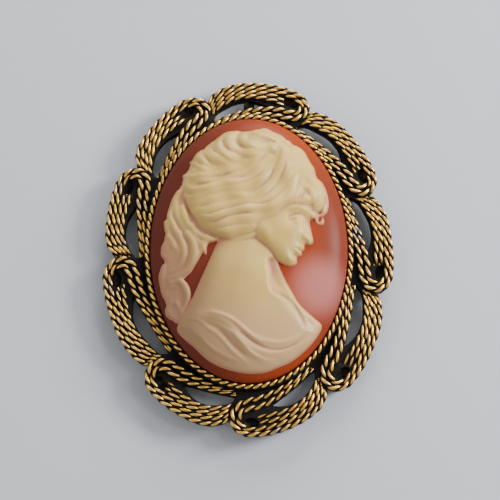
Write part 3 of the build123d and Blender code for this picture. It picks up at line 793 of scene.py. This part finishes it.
def satin_pin_metal(colours):
    """Gold-plated steel wire and strip, drawn and tumbled, with no dark finish."""
    material, tree, shader, place = new_material("gold_plated_pin_steel")
    # Drawing marks along the pin, about 0.15 mm apart
    stretched = add(tree, "ShaderNodeMapping", {"Vector": place, "Scale": (0.1, 1.0, 1.0)}).outputs[0]
    marks = noise(tree, stretched, 0.15, 2.0)
    rough = add(tree, "ShaderNodeMapRange", {"Value": marks, "To Min": 0.28, "To Max": 0.5}).outputs[0]
    bump = add(tree, "ShaderNodeBump", {"Height": marks, "Strength": 0.2, "Distance": 0.02 * MM}).outputs[0]
    set_shader(tree, shader, {
        "Base Color": blended(tree, marks, colours.gold_deep, colours.gold_bright),
        "Metallic": 1.0,
        "Roughness": rough,
        "Normal": bump,
    })
    return material


def orange_resin(colours):
    """Cast polyester resin, clouded orange over dark, with a soft sheen, painted light that makes it lighter
    to the right, and a painted window reflection.
    """
    material, tree, shader, place = new_material("clouded_orange_resin_painted_light")
    across = add(tree, "ShaderNodeSeparateXYZ", {0: place}).outputs[0]
    # Clouds left as the resin was poured, about 6 mm across
    cloud = noise(tree, place, 6, 3.0, Distortion=0.8)
    # Painted light: the ground is lighter to the right, towards the lamps, and darker to the left
    lit = eased(tree, across, -13 * MM, 9 * MM)
    cloud_and_light = add(tree, "ShaderNodeMath", {0: cloud, 1: 0.35, 2: lit}, operation="MULTIPLY_ADD").outputs[0]
    even = add(tree, "ShaderNodeMath", {0: cloud_and_light, 1: 0.17}, operation="SUBTRACT", use_clamp=True).outputs[0]
    # The painted light fades again towards the right edge, so the ground is darker there.
    edge = eased(tree, across, 7 * MM, 14 * MM, 1.0, 0.35)
    share = add(tree, "ShaderNodeMath", {0: even, 1: edge}, operation="MULTIPLY").outputs[0]
    clouded_lit_ground = blended(tree, share, colours.ground_dark, colours.ground_bright)
    # Painted reflection of a window: a milky pink patch to the right of the throat
    middle = (10.5 * MM, -6.5 * MM, 8.0 * MM)
    reach = add(tree, "ShaderNodeVectorMath", {0: place, 1: middle}, operation="DISTANCE").outputs["Value"]
    reflection = eased(tree, reach, 6.4 * MM, 1.5 * MM, 0.0, 0.72)
    ripple = noise(tree, place, 1.5, 1.0)
    set_shader(tree, shader, {
        "Base Color": blended(tree, reflection, clouded_lit_ground, colours.ground_reflection),
        "Normal": add(tree, "ShaderNodeBump", {
            "Height": ripple, "Strength": 0.08, "Distance": 0.05 * MM}).outputs[0],
        "Roughness": 0.30,
        "Specular IOR Level": 0.06,
    })
    return material


def cream_resin(colours):
    """Cream resin cast thin over the orange: the colour below shows where it is thin. Painted shade darkens
    its hollows and its left side.
    """
    material, tree, shader, place = new_material("cream_cast_resin")
    thick = add(tree, "ShaderNodeAttribute", attribute_name="thick").outputs["Fac"]
    hollow = add(tree, "ShaderNodeAttribute", attribute_name="hollow").outputs["Fac"]
    # Clouds in the cream, about 3 mm across
    ivory = blended(tree, noise(tree, place, 3, 2.0), colours.cream_deep, colours.cream)
    across, along, _ = add(tree, "ShaderNodeSeparateXYZ", {0: place}).outputs
    # The cream lets more pink through towards the foot of the bust. Painted shade makes it browner to the
    # left, away from the light, below the hair.
    low = eased(tree, along, -6 * MM, -14 * MM, 0.0, 0.6)
    below_hair = eased(tree, along, 6 * MM, -6 * MM, 0.0, 0.95)
    left = eased(tree, across, 3 * MM, -10 * MM)
    left_shade = add(tree, "ShaderNodeMath", {0: left, 1: below_hair}, operation="MULTIPLY").outputs[0]
    pinker = blended(tree, low, ivory, colours.cream_low)
    with_left_shade = blended(tree, left_shade, pinker, colours.cream_left_shade)
    # Painted shade: the cream is darker and browner where its surface lies in a hollow
    hollow_shade = eased(tree, hollow, 0.0, 0.09, 0.0, 0.8)
    shaded = blended(tree, hollow_shade, with_left_shade, colours.cream_hollow_shade)
    cover = eased(tree, thick, 0.05, 0.60)
    set_shader(tree, shader, {
        "Base Color": blended(tree, cover, colours.cream_thin, shaded),
        "Roughness": 0.36,
        "Specular IOR Level": 0.28,
        "Subsurface Weight": 0.25,
        "Subsurface Radius": (1.0, 0.55, 0.3),
        "Subsurface Scale": 0.8 * MM,
    })
    return material


def pale_floor(colours):
    """Matt seamless card under the brooch."""
    material, tree, shader, place = new_material("matt_pale_card")
    # Fibres of the card, about 0.4 mm
    fibre = noise(tree, place, 0.4, 2.0)
    fibre_colour = [c * 0.97 for c in colours.floor]
    set_shader(tree, shader, {
        "Base Color": blended(tree, fibre, fibre_colour, colours.floor),
        "Roughness": 0.9,
    })
    return material


MADE = {}


def material_for(maker):
    """One material of each kind, made when first asked for."""
    if maker not in MADE:
        MADE[maker] = maker(bpy.context.scene.brooch_colours)
    return MADE[maker]


def colour_setting(name, description, text):
    """Setting of a colour, given as an sRGB hex value."""
    return bpy.props.FloatVectorProperty(
        name=name, description=description, subtype="COLOR", default=linear(text))


class BroochSizes(bpy.types.PropertyGroup):
    rope_size: bpy.props.FloatProperty(
        name="Rope size", description="Thickness of the border's ropes, as a share of their own",
        default=1.0, min=0.6, max=1.2)
    rope_pitch: bpy.props.FloatProperty(
        name="Rope pitch", description="Length of one full twist of a rope, in mm",
        default=3.3, min=1.5, max=5.0)
    rim_radius: bpy.props.FloatProperty(
        name="Rim rope radius", description="Outer radius of the rope round the cameo, in mm",
        default=0.44, min=0.3, max=0.6)
    rope_step: bpy.props.FloatProperty(
        name="Rope step", description="Distance between rings of a wire, in mm",
        default=0.115, min=0.08, max=0.3)


class BroochColours(bpy.types.PropertyGroup):
    gold_bright: colour_setting("Rubbed gold", "Gold on the ridges", "#F6C564")
    gold_deep: colour_setting("Deep gold", "Gold where it is duller", "#A06C28")
    zinc: colour_setting("Bare zinc", "Grey metal where the plating is worn through", "#A8A498")
    patina: colour_setting("Dark finish", "Black-brown finish left in the grooves", "#0F0B08")
    # The two ground colours are mixed by the clouds and by painted light: the bright one to the right, the
    # dark one to the left
    ground_bright: colour_setting("Bright ground", "Resin of the dome towards the light", "#9C3F1D")
    ground_dark: colour_setting("Dark ground", "Resin of the dome on its dark side", "#66322A")
    # Colour of the painted window reflection on the dome
    ground_reflection: colour_setting("Milky cloud", "Pink cloud in the dome", "#C27A72")
    cream: colour_setting("Cream", "Thick cream resin", "#E0C070")
    cream_deep: colour_setting("Deep cream", "Cloudier cream resin", "#CFAB5C")
    cream_low: colour_setting("Pink cream", "Cream towards the foot of the bust", "#CFA487")
    # Painted shade on the left of the figure, away from the light
    cream_left_shade: colour_setting("Brown cream", "Cream on the shoulder to the left", "#A8845E")
    # Painted shade colour for the hollows of the figure
    cream_hollow_shade: colour_setting("Hollow cream", "Cream in the hollows", "#B5836A")
    cream_thin: colour_setting("Thin cream", "Cream so thin that the ground shows", "#BC7F66")
    floor: colour_setting("Floor", "Pale card under the brooch", "#CBD0D8")


class BROOCH_OT_border_plate(bpy.types.Operator):
    """Adds the scalloped plate with its windows and pits"""
    bl_idname = "brooch.border_plate"
    bl_label = "Border plate"

    def execute(self, context):
        edge = [border_point(curl, *row) for curl in range(SCALLOPS) for row in BORDER_EDGE]
        loops = [smooth_line(edge, 0.35, closed=True)]
        for curl in range(SCALLOPS):
            outer = smooth_line([border_point(curl, *row) for row in WINDOW_OUTER], 0.25)
            inner = smooth_line([border_point(curl, *row) for row in WINDOW_INNER], 0.25)
            loops.append(np.vstack([outer, inner[-2:0:-1]]))
        loops.append(oval(PLATE_HOLE_OUT, 0)[:, :2])
        curve = bpy.data.curves.new("border_plate", "CURVE")
        curve.dimensions = "2D"
        curve.fill_mode = "BOTH"
        curve.extrude = ((PLATE_HIGH - PLATE_LOW) / 2 - PLATE_BEVEL) * MM
        curve.bevel_depth = PLATE_BEVEL * MM
        curve.bevel_resolution = 1
        curve.offset = -PLATE_BEVEL * MM
        for loop in loops:
            spline = curve.splines.new("POLY")
            spline.points.add(len(loop) - 1)
            weighted = np.column_stack([loop * MM, np.zeros(len(loop)), np.ones(len(loop))])
            spline.points.foreach_set("co", weighted.ravel())
            spline.use_cyclic_u = True
        piece = bpy.data.objects.new("border_plate", curve)
        context.collection.objects.link(piece)
        piece.location = (0, 0, (PLATE_LOW + PLATE_HIGH) / 2 * MM)
        make_active(piece)
        bpy.ops.object.convert(target="MESH")
        bpy.ops.object.transform_apply(location=True, rotation=True, scale=True)
        piece = context.view_layer.objects.active
        in_edit_mode(piece, bpy.ops.mesh.remove_doubles, threshold=0.001 * MM)
        # Bowl-shaped pits in the curls, cut with squashed balls
        for curl in range(SCALLOPS):
            place = border_point(curl, 0.0, 0.1, PIT_OUT)
            ahead = border_point(curl, 0.02, 0.0, CURL_OUT) - border_point(curl, 0.0, 0.0, CURL_OUT)
            deselect()
            bpy.ops.mesh.primitive_uv_sphere_add(
                segments=24, ring_count=12, radius=1 * MM, location=(*place * MM, PLATE_HIGH * MM),
                rotation=(0, 0, math.atan2(ahead[1], ahead[0])), scale=PIT_SIZE)
            cutter = context.object
            make_active(piece)
            cut = piece.modifiers.new("pit", "BOOLEAN")
            cut.operation = "DIFFERENCE"
            cut.object = cutter
            bpy.ops.object.modifier_apply(modifier="pit")
            bpy.data.objects.remove(cutter)
        # Dark on top between the ropes, rubbed a little at the foot
        height = heights(piece)
        on_top, at_foot = height > PLATE_HIGH - 0.2, height < PLATE_LOW + 0.2
        mark_points(piece, "worn", np.where(on_top, 0.10, np.where(at_foot, 0.36, 0.24)))
        make_active(piece)
        bpy.ops.object.shade_smooth_by_angle(angle=math.radians(35))
        finish_piece(piece, "border_plate", material_for(antique_gold), "frame")
        return {"FINISHED"}


class BROOCH_OT_ropes(bpy.types.Operator):
    """Adds the twisted ropes of the scallops"""
    bl_idname = "brooch.ropes"
    bl_label = "Twisted ropes"

    def execute(self, context):
        sizes = context.scene.brooch_sizes
        for kind, rows in ROPES.items():
            points, faces, worn = [], [], []
            for curl in range(SCALLOPS):
                path = smooth_line([border_point(curl, *row) for row in rows], sizes.rope_step)
                marks = np.linspace(0, 1, len(ROPE_RADII[kind]))
                radius = np.interp(np.linspace(0, 1, len(path)), marks, ROPE_RADII[kind])
                more, more_faces, more_worn = twisted_rope(
                    path, radius * sizes.rope_size, sizes.rope_pitch, start=0.7 * curl)
                base = sum(len(p) for p in points)
                points.append(more)
                faces += [tuple(base + k for k in face) for face in more_faces]
                worn.append(more_worn)
            piece = mesh_piece(f"rope_{kind}", np.vstack(points), faces, {"worn": np.concatenate(worn)})
            finish_piece(piece, f"rope_{kind}", material_for(antique_gold), "frame")
        return {"FINISHED"}


class BROOCH_OT_cup(bpy.types.Operator):
    """Adds the oval cup, its strap and the rope round the cameo"""
    bl_idname = "brooch.cup"
    bl_label = "Cup and rim"

    def execute(self, context):
        sizes = context.scene.brooch_sizes
        count = OVAL_POINTS
        points = np.vstack([oval(out, height) for out, height in CUP_SECTION])
        faces = []
        for row in range(len(CUP_SECTION) - 1):
            here, there = row * count, (row + 1) * count
            for k in range(count):
                m = (k + 1) % count
                faces.append((here + k, here + m, there + m, there + k))
        faces.append(tuple(range(count - 1, -1, -1)))
        faces.append(tuple(there + k for k in range(count)))
        worn = np.where(points[:, 2] > 3.9, 0.12, np.where(points[:, 2] < 0.1, 0.75, 0.45))
        piece = mesh_piece("cup", points, faces, {"worn": worn})
        in_edit_mode(piece, bpy.ops.mesh.normals_make_consistent, inside=False)
        bpy.ops.object.shade_smooth_by_angle(angle=math.radians(30))
        finish_piece(piece, "cup", material_for(antique_gold), "frame")

        path = smooth_line(oval(RIM_ROPE_OUT, RIM_ROPE_HEIGHT, 96), sizes.rope_step, closed=True)
        length = run_lengths(np.vstack([path, path[:1]]))[-1]
        pitch = length / round(length / RIM_PITCH)
        points, faces, worn = twisted_rope(path, sizes.rim_radius, pitch, closed=True)
        piece = mesh_piece("rope_rim", points, faces, {"worn": worn})
        finish_piece(piece, "rope_rim", material_for(antique_gold), "frame")

        deselect()
        bpy.ops.mesh.primitive_cube_add(
            size=1 * MM, location=[c * MM for c in STRAP_PLACE], scale=STRAP_SIZE)
        strap = context.object
        bpy.ops.object.transform_apply(location=True, rotation=True, scale=True)
        bevel = strap.modifiers.new("edges", "BEVEL")
        bevel.width = STRAP_BEVEL * MM
        bevel.segments = 3
        bpy.ops.object.modifier_apply(modifier="edges")
        bpy.ops.object.shade_smooth_by_angle(angle=math.radians(40))
        mark_points(strap, "worn", np.full(len(strap.data.vertices), 0.2))
        finish_piece(strap, "strap", material_for(antique_gold), "frame")
        return {"FINISHED"}


class BROOCH_OT_dome(bpy.types.Operator):
    """Adds the domed ground of the cameo"""
    bl_idname = "brooch.dome"
    bl_label = "Cameo dome"

    def execute(self, context):
        # Upper half of a ball, stretched to the oval, on a straight side and a flat foot
        deselect()
        bpy.ops.mesh.primitive_uv_sphere_add(segments=160, ring_count=96, radius=1 * MM)
        piece = context.object
        form = bmesh.new()
        form.from_mesh(piece.data)
        lower_half = [v for v in form.verts if v.co.z < -0.01 * MM]
        bmesh.ops.delete(form, geom=lower_half, context="VERTS")
        form.to_mesh(piece.data)
        form.free()
        piece.scale = (HALF_WIDTH, HALF_HEIGHT, DOME_RISE)
        piece.location = (0, 0, DOME_EDGE * MM)
        make_active(piece)
        bpy.ops.object.transform_apply(location=True, rotation=True, scale=True)
        form = bmesh.new()
        form.from_mesh(piece.data)
        pulled = bmesh.ops.extrude_edge_only(form, edges=[e for e in form.edges if e.is_boundary])
        moved = [v for v in pulled["geom"] if isinstance(v, bmesh.types.BMVert)]
        bmesh.ops.translate(form, verts=moved, vec=(0, 0, (DOME_FOOT - DOME_EDGE) * MM))
        bmesh.ops.holes_fill(form, edges=[e for e in form.edges if e.is_boundary])
        bmesh.ops.recalc_face_normals(form, faces=form.faces)
        form.to_mesh(piece.data)
        form.free()
        bpy.ops.object.shade_smooth_by_angle(angle=math.radians(40))
        finish_piece(piece, "dome", material_for(orange_resin), "cameo_ground")
        return {"FINISHED"}


class BROOCH_OT_figure(bpy.types.Operator):
    """Adds the raised figure of the cameo"""
    bl_idname = "brooch.figure"
    bl_label = "Cameo figure"

    def execute(self, context):
        xs = np.arange(-13.8, 12.6, RELIEF_GRID)
        ys = np.arange(-19.9, 19.0, RELIEF_GRID)
        x, y = np.meshgrid(xs, ys)
        height, hollow = relief(x, y)
        low = dome_height(x, y) + RELIEF_SUNK
        top = dome_height(x, y) + np.maximum(height, 2 * RELIEF_SUNK + 0.05)
        faces = relief_faces(height > RELIEF_SUNK * 0.8)
        used = np.zeros(2 * x.size, bool)
        for face in faces:
            for k in face:
                used[k] = True
        renumber = np.cumsum(used) - 1
        faces = [tuple(int(renumber[k]) for k in face) for face in faces]
        bottom = np.minimum(low, top - 0.02) - 0.25
        points = np.vstack([
            np.column_stack([x.ravel(), y.ravel(), top.ravel()]),
            np.column_stack([x.ravel(), y.ravel(), bottom.ravel()]),
        ])[used]
        marks = {
            "thick": np.tile(height.ravel(), 2)[used],
            # hollow carries the painted shade in the figure's hollows
            "hollow": np.tile(hollow.ravel(), 2)[used],
        }
        piece = mesh_piece("figure", points, faces, marks)
        finish_piece(piece, "figure", material_for(cream_resin), "cameo_figure")
        return {"FINISHED"}


class BROOCH_OT_pin(bpy.types.Operator):
    """Gives the pin its finish"""
    bl_idname = "brooch.pin"
    bl_label = "Pin"

    def execute(self, context):
        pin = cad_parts["pin"]
        pin.data.materials.clear()
        pin.data.materials.append(material_for(satin_pin_metal))
        return {"FINISHED"}


# Soft daylight: place and size of each round lamp in m, and its power in W
LAMPS = (
    ("window", (0.34, 0.10, 0.20), 0.14, 1.9),
    ("sky", (0.08, 0.38, 0.16), 0.24, 1.5),
    ("room", (0.24, 0.02, 0.32), 0.12, 0.30),
    ("bounce", (-0.30, -0.10, 0.25), 0.30, 0.3),
)
ROOM_COLOUR = (1.0, 0.985, 0.96, 1.0)
ROOM_STRENGTH = 0.45
# Camera: degrees above the floor, distance and target in m, focal length in mm
CAMERA_TILT = 76
CAMERA_DISTANCE = 0.300
CAMERA_TARGET = (0.00015, -0.00015, 0.005)
CAMERA_LENS = 143


class BROOCH_OT_stage(bpy.types.Operator):
    """Adds the floor, the soft lights and the camera"""
    bl_idname = "brooch.stage"
    bl_label = "Stage"

    def execute(self, context):
        deselect()
        bpy.ops.mesh.primitive_plane_add(size=3.0, location=(0, 0, 0))
        floor = context.object
        floor.name = "floor"
        floor.data.materials.append(material_for(pale_floor))

        world = bpy.data.worlds.new("studio")
        context.scene.world = world
        world.use_nodes = True
        background = world.node_tree.nodes["Background"]
        background.inputs["Color"].default_value = ROOM_COLOUR
        background.inputs["Strength"].default_value = ROOM_STRENGTH

        for name, place, size, power in LAMPS:
            lamp = bpy.data.lights.new(name, "AREA")
            lamp.shape = "DISK"
            lamp.size = size
            lamp.energy = power
            holder = bpy.data.objects.new(name, lamp)
            holder.location = place
            direction = -np.array(place)
            holder.rotation_euler = (
                math.atan2(math.hypot(direction[0], direction[1]), -direction[2]), 0,
                math.atan2(direction[0], -direction[1]) + math.pi)
            context.collection.objects.link(holder)

        tilt = math.radians(CAMERA_TILT)
        camera = bpy.data.cameras.new("camera")
        camera.lens = CAMERA_LENS
        camera.clip_start = 0.01
        holder = bpy.data.objects.new("camera", camera)
        x, y, z = CAMERA_TARGET
        holder.location = (
            x, y - CAMERA_DISTANCE * math.cos(tilt), z + CAMERA_DISTANCE * math.sin(tilt))
        holder.rotation_euler = (math.pi / 2 - tilt, 0, 0)
        context.collection.objects.link(holder)
        context.scene.camera = holder
        return {"FINISHED"}


class BROOCH_PT_panel(bpy.types.Panel):
    """Lists the steps and settings of the brooch"""
    bl_idname = "BROOCH_PT_panel"
    bl_label = "Cameo brooch"
    bl_space_type = "VIEW_3D"
    bl_region_type = "UI"
    bl_category = "Brooch"

    def draw(self, context):
        for group in (context.scene.brooch_sizes, context.scene.brooch_colours):
            for key in group.__annotations__:
                self.layout.prop(group, key)
        for step in STEPS:
            self.layout.operator(step.bl_idname)


STEPS = (
    BROOCH_OT_border_plate, BROOCH_OT_ropes, BROOCH_OT_cup, BROOCH_OT_dome,
    BROOCH_OT_figure, BROOCH_OT_pin, BROOCH_OT_stage,
)
CLASSES = (BroochSizes, BroochColours, *STEPS, BROOCH_PT_panel)


def register():
    """Makes the settings and steps known to Blender."""
    for item in CLASSES:
        bpy.utils.register_class(item)
    bpy.types.Scene.brooch_sizes = bpy.props.PointerProperty(type=BroochSizes)
    bpy.types.Scene.brooch_colours = bpy.props.PointerProperty(type=BroochColours)


def unregister():
    """Takes them away again."""
    del bpy.types.Scene.brooch_sizes
    del bpy.types.Scene.brooch_colours
    for item in reversed(CLASSES):
        bpy.utils.unregister_class(item)


def main():
    """Builds the brooch and its stage."""
    register()
    bpy.ops.brooch.border_plate()
    bpy.ops.brooch.ropes()
    bpy.ops.brooch.cup()
    bpy.ops.brooch.dome()
    bpy.ops.brooch.figure()
    bpy.ops.brooch.pin()
    bpy.ops.brooch.stage()


if __name__ == "__main__":
    main()
